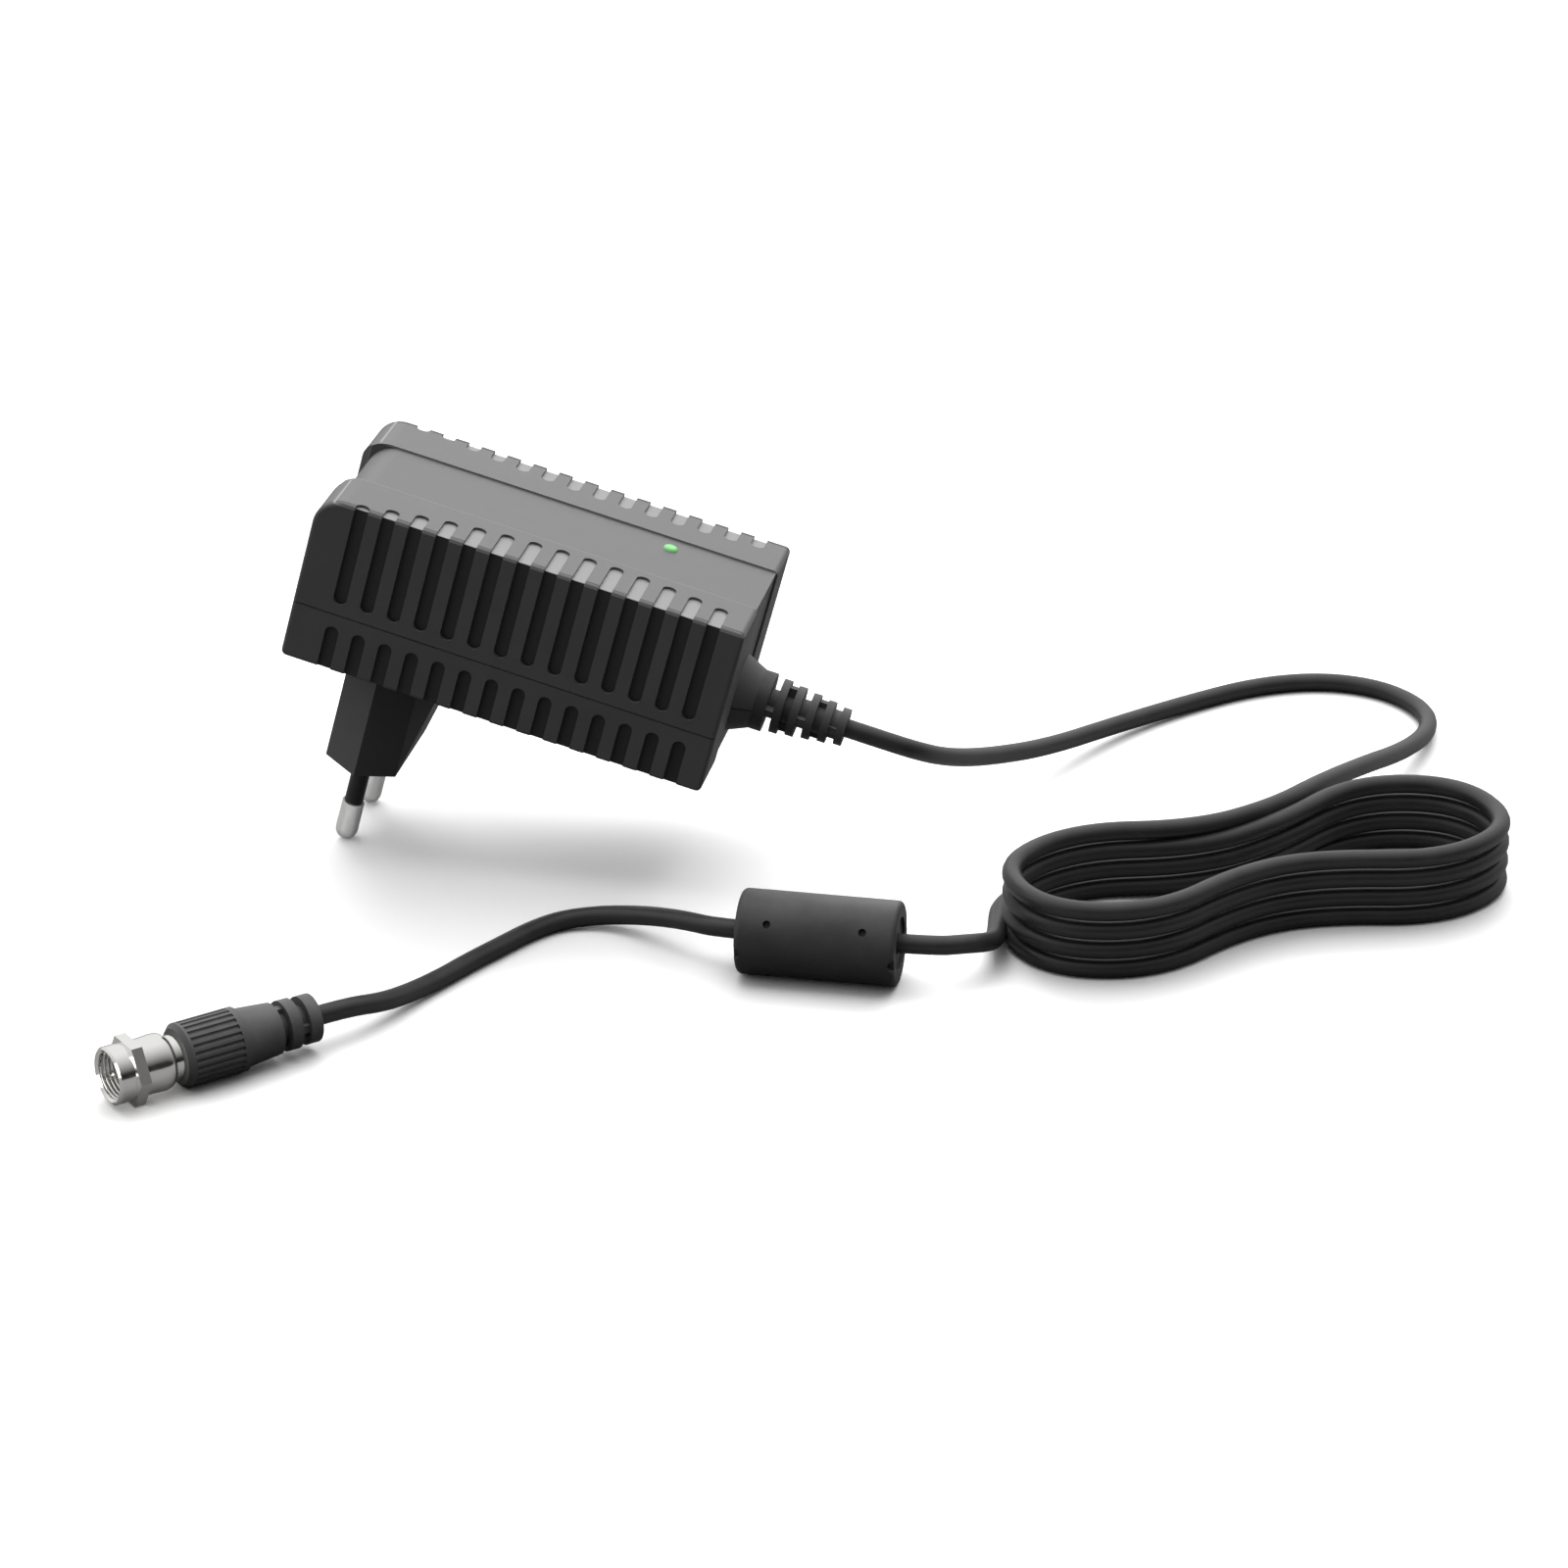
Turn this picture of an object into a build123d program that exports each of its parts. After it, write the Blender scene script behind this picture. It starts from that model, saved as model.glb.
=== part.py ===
from build123d import *

import math
import os

# A plug-in power supply: ribbed two-part case on a tall mains plug, cord in a hank,
# ferrite bead and a coaxial plug with a loose hexagonal nut. Millimetres.
#
# The case is drawn straight, with x from its left end, y from its middle and z from its
# bottom. It is then leaned over and stood on the tips of its two pins, with the cord end
# down. The cord and what is on it are drawn where they lie on the floor.

# Case
case_length = 92.0
case_width = 50.0
case_height = 37.2
seam_height = 12.8
wall = 2.4
shoulder_radius = 6.0
corner_radius = 1.2
side_edge_radius = 0.8
overrun = 5.0

# Recessed band along the middle of the case
band_width = 21.0
band_depth = 0.45
band_end_depth = 2.0
band_end_blend = 2.6

# Fine groove round the seam, and the lip of the upper shell in a rebate of the lower one
seam_groove_width = 0.3
seam_groove_depth = 0.4
lip_height = 1.6
lip_clearance = 0.1

# Grooves that leave the ribs on both sides
groove_count = 14
groove_first = 9.5
groove_pitch = 5.83
groove_width = 2.9
groove_depth = 1.0
notch_depth = 0.55
upper_groove_gap = 2.2
lower_groove_gap = 2.9
notch_reach = 12.4
notch_least_reach = 2.4
notch_peak_share = 0.638
notch_fall_share = 1.99
back_reach_share = 0.64

# Plug foot below the case, with its wedge
plug_x = 20.0
plug_drop = 25.5
plug_width = 15.6
plug_length = 35.3
plug_flat_length = 24.4
wedge_reach = 5.5
plug_flange_rim = 1.5
plug_flange_thickness = 1.6
plug_clearance = 0.1

# Pins
pin_spacing = 19.0
pin_diameter = 4.8
pin_length = 19.0
pin_sleeve_length = 10.0
pin_core_diameter = 3.0
pin_sleeve_diameter = 4.0
pin_rise = 0.8

# Strips from the pins to the board
strip_width = 3.0
strip_thickness = 0.6

# Strain relief
relief_cone_diameter = 16.8
relief_flange_diameter = 12.8
relief_cone_length = 4.5
relief_flange_length = 2.6
relief_neck_diameter = 9.0
relief_disc_diameter = 13.0
relief_disc_length = 1.8
relief_core_diameter = 6.2
relief_ring_count = 5
relief_ring_length = 1.7
relief_gap_length = 1.7
relief_first_ring_diameter = 11.7
relief_last_ring_diameter = 8.1
relief_web_width = 1.5
relief_edge_radius = 0.3

# Light
led_diameter = 3.0
led_end_distance = 22.7
led_y = 5.4
led_rise = 0.6
led_body_length = 5.4
led_rim_diameter = 3.8
led_rim_length = 0.8
led_clearance = 0.05
led_leg_diameter = 0.6
led_leg_spacing = 2.0

# Circuit board and its posts
board_gap = 5.0
board_thickness = 1.6
board_margin = 1.0
board_end_gap = 1.5
post_diameter = 4.0
post_inset = 3.0

# Transformer
core_length = 20.0
core_height = 17.0
core_thickness = 6.0
core_leg = 3.5
core_centre_leg = 5.0
winding_width = 15.0
winding_clearance = 0.15

# Other pieces on the board
input_cap_start_distance = 21.6
input_cap_side_distance = 9.1
input_cap_diameter = 10.0
input_cap_height = 16.0
output_cap_end_distance = 8.8
output_cap_side_distance = 12.6
output_cap_diameter = 8.0
output_cap_height = 14.0
cap_groove_depth = 0.4
cap_groove_width = 0.8
inductor_start_distance = 21.6
inductor_side_distance = 12.6
inductor_diameter = 8.0
inductor_height = 9.0
inductor_waist_diameter = 5.6
inductor_rim = 1.4
heatsink_end_distance = 21.8
heatsink_side_distance = 8.6
heatsink_length = 14.0
heatsink_thickness = 1.4
heatsink_height = 17.0
heatsink_foot = 4.0
suppressor_end_distance = 22.8
suppressor_side_distance = 6.6
suppressor_diameter = 8.0
suppressor_thickness = 3.4
suppressor_edge_radius = 1.1
fuse_start_distance = 8.1
fuse_side_distance = 12.6
fuse_diameter = 5.0
fuse_length = 15.0
fuse_cap_length = 3.0
fuse_waist_diameter = 4.4

# Cord
cord_diameter = 4.0
cord_arc_share = 0.45
cord_straight_run = 8.0
wire_diameter = 1.4
wire_spacing = 2.0
wire_run = 2.5
wire_reach = 5.5

# Bead on the cord: axis along X, lying on the floor
bead_x = 61.8
bead_y = -55.0
bead_diameter = 17.4
bead_length = 32.6
bead_edge_radius = 1.0
bead_wall = 1.6
bead_bore_diameter = 4.3
bead_core_bore_diameter = 6.6
bead_core_clearance = 0.1
bead_rim_diameter = 11.0
bead_rim_depth = 0.6
bead_latch_diameter = 1.6
bead_latch_depth = 1.2
bead_latch_spacing = 19.4
bead_latch_turn = 45.0
bead_parting_turn = 98.0
bead_notch_diameter = 2.6
bead_notch_depth = 1.2

# Coaxial plug, measured along its axis from the front rim of its nut
nose_x = -61.4
nose_y = -136.1
nose_angle = 45.0
nut_length = 12.6
nut_front_length = 3.7
nut_hex_length = 2.3
nut_across_flats = 12.4
nut_front_diameter = 11.6
nut_rear_diameter = 11.2
nut_rear_length = 1.6
nut_tail_diameter = 8.4
nut_mouth_chamfer = 0.5
nut_bore_diameter = 9.4
nut_lip_length = 1.9
nut_edge = 0.4
nut_play = 0.15
neck_diameter = 7.0
neck_clearance = 0.05
flange_diameter = 8.8
flange_length = 1.3
collar_diameter = 9.2
collar_length = 1.9
stem_diameter = 6.0
stem_length = 9.0
insulator_diameter = 4.6
insulator_length = 4.0
contact_diameter = 1.0
contact_setback = 0.8
contact_cone_length = 0.5

# Boot of the coaxial plug
grip_diameter = 13.0
grip_length = 13.3
grip_chamfer = 0.9
grip_rib_count = 27
grip_groove_diameter = 0.9
grip_end_margin = 1.4
taper_length = 7.9
taper_start_diameter = 12.0
taper_end_diameter = 10.5
boot_gap_length = 1.8
boot_core_diameter = 6.4
boot_ring_a_diameter = 10.2
boot_ring_a_length = 2.4
boot_ring_b_diameter = 9.8
boot_ring_b_length = 2.6
boot_web_width = 1.6

# Stance: how far the case leans with its cord end down
lean = 15.1

# Hank: one turn has the outline of a dog bone, from these three corners
hank_x = 145.0
hank_y = -9.5
hank_angle = 33.15
hank_turns = 4
hank_pitch = 4.6
lobe_end = Vector(54.0, 11.0)
lobe_side = Vector(33.0, 20.6)
waist = Vector(9.0, 10.2)

# Places that follow from the sizes above
half_width = case_width / 2
band_side = band_width / 2
band_top = case_height - band_depth
band_right = case_length - band_depth
cavity_left = band_end_depth + wall
cavity_right = band_right - wall
cavity_length = cavity_right - cavity_left
cavity_width = case_width - 2 * wall
cavity_middle = (cavity_left + cavity_right) / 2
ceiling = band_top - wall
board_bottom = wall + board_gap
board_top = board_bottom + board_thickness
board_start = cavity_left + board_margin
board_stop = cavity_right - relief_disc_length - board_end_gap
board_side = cavity_width / 2 - board_margin
transformer_x = (board_start + board_stop) / 2
input_cap_x = board_start + input_cap_start_distance
input_cap_y = board_side - input_cap_side_distance
output_cap_x = board_stop - output_cap_end_distance
output_cap_y = output_cap_side_distance - board_side
inductor_x = board_start + inductor_start_distance
inductor_y = inductor_side_distance - board_side
heatsink_x = board_stop - heatsink_end_distance
heatsink_y = heatsink_side_distance - board_side
suppressor_x = board_stop - suppressor_end_distance
suppressor_y = board_side - suppressor_side_distance
fuse_x = board_start + fuse_start_distance
fuse_y = board_side - fuse_side_distance
led_x = case_length - led_end_distance
relief_start = band_right + relief_cone_length
relief_pitch = relief_ring_length + relief_gap_length
relief_end = relief_start + relief_flange_length + relief_ring_count * relief_pitch
cord_radius = cord_diameter / 2


# The case as one block

with BuildSketch(Plane.XZ) as band_view:
    with Locations(((band_end_depth + band_right) / 2, band_top / 2)):
        Rectangle(band_right - band_end_depth, band_top)
    fillet(band_view.vertices().group_by(Axis.X)[0].sort_by(Axis.Y)[-1], radius=shoulder_radius)
    fillet(band_view.vertices().group_by(Axis.Y)[0], radius=corner_radius)

with BuildPart() as case_block:
    with BuildSketch(Plane.XZ) as side_view:
        with Locations((case_length / 2, case_height / 2)):
            Rectangle(case_length, case_height)
        fillet(side_view.vertices().group_by(Axis.X)[0].sort_by(Axis.Y)[-1], radius=shoulder_radius)
        fillet(side_view.vertices().group_by(Axis.Y)[0], radius=corner_radius)
        fillet(side_view.vertices().group_by(Axis.X)[-1].sort_by(Axis.Y)[-1], radius=corner_radius)
    extrude(amount=half_width, both=True)
    fillet(case_block.faces().filter_by(Axis.Y).edges(), radius=side_edge_radius)
    with BuildSketch(Plane.XZ):
        with Locations((case_length / 2, case_height / 2)):
            Rectangle(case_length + 2 * overrun, case_height + 2 * overrun)
        add(band_view.sketch_local, mode=Mode.SUBTRACT)
    extrude(amount=band_width / 2, both=True, mode=Mode.SUBTRACT)
    with BuildSketch():
        with BuildLine():
            Line((-overrun, band_side), (-overrun, band_side + band_end_blend))
            Line((-overrun, band_side + band_end_blend), (0, band_side + band_end_blend))
            Spline(
                (0, band_side + band_end_blend),
                (band_end_depth, band_side),
                tangents=((0, -1), (0, -1)),
            )
            Line((band_end_depth, band_side), (-overrun, band_side))
        make_face()
        mirror(about=Plane.XZ)
    extrude(amount=case_height, mode=Mode.SUBTRACT)
    with BuildSketch(Plane.XZ):
        with BuildLine():
            Polyline(
                (cavity_right, seam_height),
                (cavity_right, seam_height + relief_cone_diameter / 2),
                (band_right, seam_height + relief_cone_diameter / 2),
                (relief_start, seam_height + relief_flange_diameter / 2),
                (relief_start, seam_height),
                close=True,
            )
        make_face()
    revolve(axis=Axis((0, 0, seam_height), (1, 0, 0)))

with BuildPart() as lower_block:
    add(case_block.part)
    split(bisect_by=Plane.XY.offset(seam_height), keep=Keep.BOTTOM)

# The seam's groove is what lies outside these two outlines, of the case and of its cone
with BuildSketch(Plane.XY.offset(seam_height)) as seam_groove:
    with Locations((case_length / 2, 0)):
        Rectangle(case_length + 2 * overrun, case_width + 2 * overrun)
    groove_side = half_width - seam_groove_depth
    groove_floor = band_end_depth + seam_groove_depth
    cone_side = relief_cone_diameter / 2 - seam_groove_depth
    mouth_side = relief_flange_diameter / 2 - seam_groove_depth
    with BuildLine():
        Polyline(
            (seam_groove_depth, groove_side),
            (seam_groove_depth, band_side + band_end_blend),
            (groove_floor, band_side),
            (groove_floor, -band_side),
            (seam_groove_depth, -band_side - band_end_blend),
            (seam_groove_depth, -groove_side),
            (case_length - seam_groove_depth, -groove_side),
            (case_length - seam_groove_depth, groove_side),
            close=True,
        )
    make_face(mode=Mode.SUBTRACT)
    with BuildLine():
        Polyline(
            (cavity_right, cone_side),
            (band_right, cone_side),
            (relief_start, mouth_side),
            (relief_start, -mouth_side),
            (band_right, -cone_side),
            (cavity_right, -cone_side),
            close=True,
        )
    make_face(mode=Mode.SUBTRACT)


def cut_side_grooves(low, high):
    # Grooves from low to high on the front and the back, with a round end inside the shell
    for side in (1, -1):
        with BuildSketch(Plane.XZ.offset(side * half_width)) as grooves:
            for number in range(groove_count):
                with Locations((groove_first + number * groove_pitch, (low + high) / 2)):
                    SlotOverall(high - low, groove_width, rotation=90)
        extrude(grooves.sketch, amount=-side * groove_depth, mode=Mode.SUBTRACT)


def notch_length(number):
    place = number / (groove_count - 1) - notch_peak_share
    return notch_reach * (1 - notch_fall_share * place**2)


def cut_bore(start, end, diameter):
    # A round space about the strain relief's axis
    with BuildSketch(Plane.YZ.offset(start)) as bore:
        with Locations((0, seam_height)):
            Circle(diameter / 2)
    extrude(bore.sketch, amount=end - start, mode=Mode.SUBTRACT)


with BuildPart() as upper_shell:
    add(case_block.part)
    split(bisect_by=Plane.XY.offset(seam_height), keep=Keep.TOP)
    with BuildSketch(Plane.XY.offset(seam_height)):
        with Locations((cavity_middle, 0)):
            Rectangle(cavity_length, cavity_width)
    extrude(amount=ceiling - seam_height, mode=Mode.SUBTRACT)
    with BuildSketch(Plane.XY.offset(seam_height)):
        with Locations((cavity_middle, 0)):
            Rectangle(cavity_length + wall - 2 * lip_clearance, cavity_width + wall - 2 * lip_clearance)
            Rectangle(cavity_length, cavity_width, mode=Mode.SUBTRACT)
    extrude(amount=-lip_height)
    cut_side_grooves(seam_height + upper_groove_gap, case_height + overrun)
    with BuildSketch(Plane.XY.offset(case_height)):
        for number in range(groove_count):
            for side, share in ((-1, 1), (1, back_reach_share)):
                reach = max(share * notch_length(number), notch_least_reach)
                middle = side * (half_width + overrun / 2 - reach / 2)
                with Locations((groove_first + number * groove_pitch, middle)):
                    SlotOverall(reach + overrun, groove_width, rotation=90)
    extrude(amount=-notch_depth, mode=Mode.SUBTRACT)
    with BuildSketch(Plane.XY.offset(ceiling)):
        with Locations((led_x, led_y)):
            Circle(led_diameter / 2 + led_clearance)
    extrude(amount=case_height - ceiling, mode=Mode.SUBTRACT)
    cut_bore(cavity_right - relief_disc_length, cavity_right, relief_disc_diameter)
    cut_bore(cavity_right, relief_start, relief_neck_diameter)


def draw_plug_outline():
    half = plug_width / 2
    with BuildLine() as outline:
        Polyline(
            (plug_x - half, -plug_flat_length / 2),
            (plug_x, -plug_length / 2),
            (plug_x + half, -plug_flat_length / 2),
            (plug_x + half, plug_flat_length / 2),
            (plug_x, plug_length / 2),
            (plug_x - half, plug_flat_length / 2),
            close=True,
        )
    make_face(outline.edges())


def draw_wedge_top():
    with Locations((plug_x + plug_width / 2, 0)):
        Rectangle(wedge_reach, plug_flat_length, align=(Align.MIN, Align.CENTER))


with BuildSketch() as plug_opening:
    draw_plug_outline()
    draw_wedge_top()

with BuildPart() as lower_shell:
    add(lower_block.part)
    with BuildSketch(Plane.XY.offset(wall)):
        with Locations((cavity_middle, 0)):
            Rectangle(cavity_length, cavity_width)
    extrude(amount=seam_height - wall, mode=Mode.SUBTRACT)
    with BuildSketch(Plane.XY.offset(seam_height)):
        with Locations((cavity_middle, 0)):
            Rectangle(cavity_length + wall, cavity_width + wall)
    extrude(amount=-lip_height - lip_clearance, mode=Mode.SUBTRACT)
    with BuildSketch(Plane.XY):
        add(plug_opening.sketch_local)
        offset(amount=plug_clearance, kind=Kind.INTERSECTION)
    extrude(amount=wall, mode=Mode.SUBTRACT)
    with BuildSketch(Plane.XY.offset(wall)):
        for x in (cavity_left + post_inset, board_stop - post_inset):
            for side in (1, -1):
                with Locations((x, side * (cavity_width / 2 - post_inset))):
                    Circle(post_diameter / 2)
    extrude(amount=board_gap)
    cut_side_grooves(-overrun, seam_height - lower_groove_gap)
    extrude(seam_groove.sketch, amount=-seam_groove_width, mode=Mode.SUBTRACT)
    cut_bore(cavity_right - relief_disc_length, cavity_right, relief_disc_diameter)
    cut_bore(cavity_right, relief_start, relief_neck_diameter)


# Plug foot: a tall hexagon with a wedge on the side of the cord, and a flange inside

with BuildPart() as plug_body:
    with BuildSketch(Plane.XY.offset(-plug_drop)):
        draw_plug_outline()
    extrude(amount=plug_drop + wall)
    with BuildSketch(Plane.XZ):
        with BuildLine():
            Polyline(
                (plug_x + plug_width / 2, -plug_drop),
                (plug_x + plug_width / 2 + wedge_reach, 0),
                (plug_x + plug_width / 2 + wedge_reach, wall),
                (plug_x + plug_width / 2, wall),
                close=True,
            )
        make_face()
    extrude(amount=plug_flat_length / 2, both=True)
    with BuildSketch(Plane.XY.offset(wall)):
        add(plug_opening.sketch_local)
        offset(amount=plug_flange_rim, kind=Kind.INTERSECTION)
    extrude(amount=plug_flange_thickness)
    with BuildSketch(Plane.XY.offset(wall + plug_flange_thickness)):
        with Locations((plug_x, pin_spacing / 2), (plug_x, -pin_spacing / 2)):
            Circle(pin_core_diameter / 2)
    extrude(amount=-plug_drop - wall - plug_flange_thickness, mode=Mode.SUBTRACT)

pin_top = wall + plug_flange_thickness + pin_rise
sleeve_end = -plug_drop - pin_sleeve_length
pin_end = -plug_drop - pin_length


def turn_pin(y):
    with BuildPart() as pin:
        with BuildSketch(Plane.XZ.offset(-y)):
            with BuildLine():
                Line((plug_x, pin_end), (plug_x, pin_top))
                Line((plug_x, pin_top), (plug_x + pin_core_diameter / 2, pin_top))
                Line((plug_x + pin_core_diameter / 2, pin_top), (plug_x + pin_core_diameter / 2, sleeve_end))
                Line((plug_x + pin_core_diameter / 2, sleeve_end), (plug_x + pin_diameter / 2, sleeve_end))
                Line(
                    (plug_x + pin_diameter / 2, sleeve_end),
                    (plug_x + pin_diameter / 2, pin_end + pin_diameter / 2),
                )
                RadiusArc(
                    (plug_x + pin_diameter / 2, pin_end + pin_diameter / 2),
                    (plug_x, pin_end),
                    pin_diameter / 2,
                )
            make_face()
        revolve(axis=Axis((plug_x, y, 0), (0, 0, 1)))
    return pin


def mould_pin_sleeve(y):
    with BuildPart() as sleeve:
        with BuildSketch(Plane.XY.offset(sleeve_end)):
            with Locations((plug_x, y)):
                Circle(pin_sleeve_diameter / 2)
                Circle(pin_core_diameter / 2, mode=Mode.SUBTRACT)
        extrude(amount=pin_sleeve_length)
    return sleeve


def bend_contact_strip(y):
    # An angle: its foot lies on the pin and its upright meets the board
    with BuildPart() as strip:
        with BuildSketch(Plane.XY.offset(pin_top)):
            with Locations((plug_x, y)):
                Rectangle(pin_core_diameter, strip_width)
        extrude(amount=strip_thickness)
        with BuildSketch(Plane.XY.offset(pin_top)):
            with Locations((plug_x + pin_core_diameter / 2, y)):
                Rectangle(strip_thickness, strip_width, align=(Align.MAX, Align.CENTER))
        extrude(amount=board_bottom - pin_top)
    return strip


pin_front = turn_pin(-pin_spacing / 2)
pin_rear = turn_pin(pin_spacing / 2)
pin_sleeve_front = mould_pin_sleeve(-pin_spacing / 2)
pin_sleeve_rear = mould_pin_sleeve(pin_spacing / 2)
contact_strip_front = bend_contact_strip(-pin_spacing / 2)
contact_strip_rear = bend_contact_strip(pin_spacing / 2)


# Strain relief: a disc inside the case, a flange outside it and rings joined by webs

def ring_diameter(number):
    step = (relief_first_ring_diameter - relief_last_ring_diameter) / (relief_ring_count - 1)
    return relief_first_ring_diameter - number * step


with BuildPart() as strain_relief:
    with BuildSketch(Plane.YZ.offset(cavity_right - relief_disc_length)):
        with Locations((0, seam_height)):
            Circle(relief_disc_diameter / 2)
    extrude(amount=relief_disc_length)
    with BuildSketch(Plane.YZ.offset(cavity_right)):
        with Locations((0, seam_height)):
            Circle(relief_neck_diameter / 2)
    extrude(amount=relief_start - cavity_right)
    with BuildSketch(Plane.YZ.offset(relief_start)):
        with Locations((0, seam_height)):
            Circle(relief_flange_diameter / 2)
    extrude(amount=relief_flange_length)
    with BuildSketch(Plane.YZ.offset(relief_start)):
        with Locations((0, seam_height)):
            Circle(relief_core_diameter / 2)
    extrude(amount=relief_end - relief_start)
    for number in range(relief_ring_count):
        gap_start = relief_start + relief_flange_length + number * relief_pitch
        with BuildSketch(Plane.YZ.offset(gap_start + relief_gap_length)):
            with Locations((0, seam_height)):
                Circle(ring_diameter(number) / 2)
        extrude(amount=relief_ring_length)
        across = ring_diameter(number) - 2 * relief_edge_radius
        with BuildSketch(Plane.YZ.offset(gap_start)):
            with Locations((0, seam_height)):
                if number % 2 == 0:
                    Rectangle(across, relief_web_width)
                else:
                    Rectangle(relief_web_width, across)
        extrude(amount=relief_gap_length)


# Light: a round lens with a rim, on two legs that stand on the board

led_bottom = band_top + led_rise - led_body_length

with BuildPart() as led:
    with BuildSketch(Plane.XY.offset(led_bottom)):
        with Locations((led_x, led_y)):
            Circle(led_rim_diameter / 2)
    extrude(amount=led_rim_length)
    with BuildSketch(Plane.XY.offset(led_bottom)):
        with Locations((led_x, led_y)):
            Circle(led_diameter / 2)
    extrude(amount=led_body_length)
    fillet(led.faces().sort_by(Axis.Z)[-1].edges(), radius=led_rise)

with BuildPart() as led_legs:
    with BuildSketch(Plane.XY.offset(board_top)):
        for side in (1, -1):
            with Locations((led_x, led_y + side * led_leg_spacing / 2)):
                Circle(led_leg_diameter / 2)
    extrude(amount=led_bottom - board_top)


# Board and what stands on it

with BuildPart() as circuit_board:
    with BuildSketch(Plane.XY.offset(board_bottom)):
        with Locations(((board_start + board_stop) / 2, 0)):
            Rectangle(board_stop - board_start, cavity_width - 2 * board_margin)
    extrude(amount=board_thickness)

window_height = core_height - 2 * core_leg
window_length = (core_length - 2 * core_leg - core_centre_leg) / 2
window_place = core_centre_leg / 2 + window_length / 2

with BuildPart() as transformer_core:
    with BuildSketch(Plane.XZ):
        with Locations((transformer_x, board_top + core_height / 2)):
            Rectangle(core_length, core_height)
        for side in (1, -1):
            with Locations((transformer_x + side * window_place, board_top + core_height / 2)):
                Rectangle(window_length, window_height, mode=Mode.SUBTRACT)
    extrude(amount=core_thickness / 2, both=True)

with BuildPart() as transformer_winding:
    with BuildSketch(Plane.XY.offset(board_top + core_leg + winding_clearance)):
        with Locations((transformer_x, 0)):
            RectangleRounded(core_length - 2 * core_leg - 2 * winding_clearance, winding_width, core_leg)
            Rectangle(
                core_centre_leg + 2 * winding_clearance,
                core_thickness + 2 * winding_clearance,
                mode=Mode.SUBTRACT,
            )
    extrude(amount=window_height - 2 * winding_clearance)


def stand_capacitor(x, y, diameter, height):
    with BuildPart() as can:
        with BuildSketch(Plane.XY.offset(board_top)):
            with Locations((x, y)):
                Circle(diameter / 2)
        extrude(amount=height)
        with BuildSketch(Plane.XY.offset(board_top + cap_groove_width)):
            with Locations((x, y)):
                Circle(diameter / 2)
                Circle(diameter / 2 - cap_groove_depth, mode=Mode.SUBTRACT)
        extrude(amount=cap_groove_width, mode=Mode.SUBTRACT)
        chamfer(can.faces().sort_by(Axis.Z)[-1].edges(), length=cap_groove_depth)
    return can


input_capacitor = stand_capacitor(input_cap_x, input_cap_y, input_cap_diameter, input_cap_height)
output_capacitor = stand_capacitor(output_cap_x, output_cap_y, output_cap_diameter, output_cap_height)

with BuildPart() as inductor:
    with BuildSketch(Plane.XY.offset(board_top)):
        with Locations((inductor_x, inductor_y)):
            Circle(inductor_diameter / 2)
    extrude(amount=inductor_height)
    with BuildSketch(Plane.XY.offset(board_top + inductor_rim)):
        with Locations((inductor_x, inductor_y)):
            Circle(inductor_diameter / 2)
            Circle(inductor_waist_diameter / 2, mode=Mode.SUBTRACT)
    extrude(amount=inductor_height - 2 * inductor_rim, mode=Mode.SUBTRACT)

with BuildPart() as diode_heatsink:
    with BuildSketch(Plane.YZ.offset(heatsink_x - heatsink_length / 2)):
        with BuildLine():
            Polyline(
                (heatsink_y, board_top),
                (heatsink_y + heatsink_foot, board_top),
                (heatsink_y + heatsink_foot, board_top + heatsink_thickness),
                (heatsink_y + heatsink_thickness, board_top + heatsink_thickness),
                (heatsink_y + heatsink_thickness, board_top + heatsink_height),
                (heatsink_y, board_top + heatsink_height),
                close=True,
            )
        make_face()
    extrude(amount=heatsink_length)

with BuildPart() as suppression_capacitor:
    with BuildSketch(Plane.XZ.offset(-suppressor_y)):
        with Locations((suppressor_x, board_top + suppressor_diameter / 2)):
            Circle(suppressor_diameter / 2)
    extrude(amount=suppressor_thickness / 2, both=True)
    fillet(suppression_capacitor.edges().filter_by(GeomType.CIRCLE), radius=suppressor_edge_radius)

with BuildPart() as fuse:
    with BuildSketch(Plane.XZ.offset(-fuse_y - fuse_length / 2)):
        with Locations((fuse_x, board_top + fuse_diameter / 2)):
            Circle(fuse_diameter / 2)
    extrude(amount=fuse_length)
    with BuildSketch(Plane.XZ.offset(-fuse_y - fuse_length / 2 + fuse_cap_length)):
        with Locations((fuse_x, board_top + fuse_diameter / 2)):
            Circle(fuse_diameter / 2)
            Circle(fuse_waist_diameter / 2, mode=Mode.SUBTRACT)
    extrude(amount=fuse_length - 2 * fuse_cap_length, mode=Mode.SUBTRACT)

wire_start = cavity_right - relief_disc_length

with BuildPart() as lead_wires:
    for side in (1, -1):
        y = side * wire_spacing / 2
        with BuildLine() as wire_path:
            FilletPolyline(
                (wire_start, y, seam_height),
                (wire_start - wire_run, y, seam_height),
                (wire_start - wire_reach, y, board_top),
                radius=wire_diameter,
            )
        with BuildSketch(Plane(origin=wire_path.line @ 0, z_dir=wire_path.line % 0)):
            Circle(wire_diameter / 2)
        sweep(path=wire_path.line)
    with BuildSketch(Plane.XY.offset(board_top)):
        with Locations((wire_start - wire_reach, 0)):
            Rectangle(2 * wire_diameter, 3 * wire_spacing)
    extrude(amount=-board_thickness, mode=Mode.SUBTRACT)


# Bead: a core of ferrite in a moulded cover, with the cord through both

bead_height = bead_diameter / 2
bead_axis = Axis((0, bead_y, bead_height), (1, 0, 0))
bead_left = bead_x - bead_length / 2
bead_right = bead_x + bead_length / 2
core_bead_length = bead_length - 2 * (bead_wall + bead_rim_depth)


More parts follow.
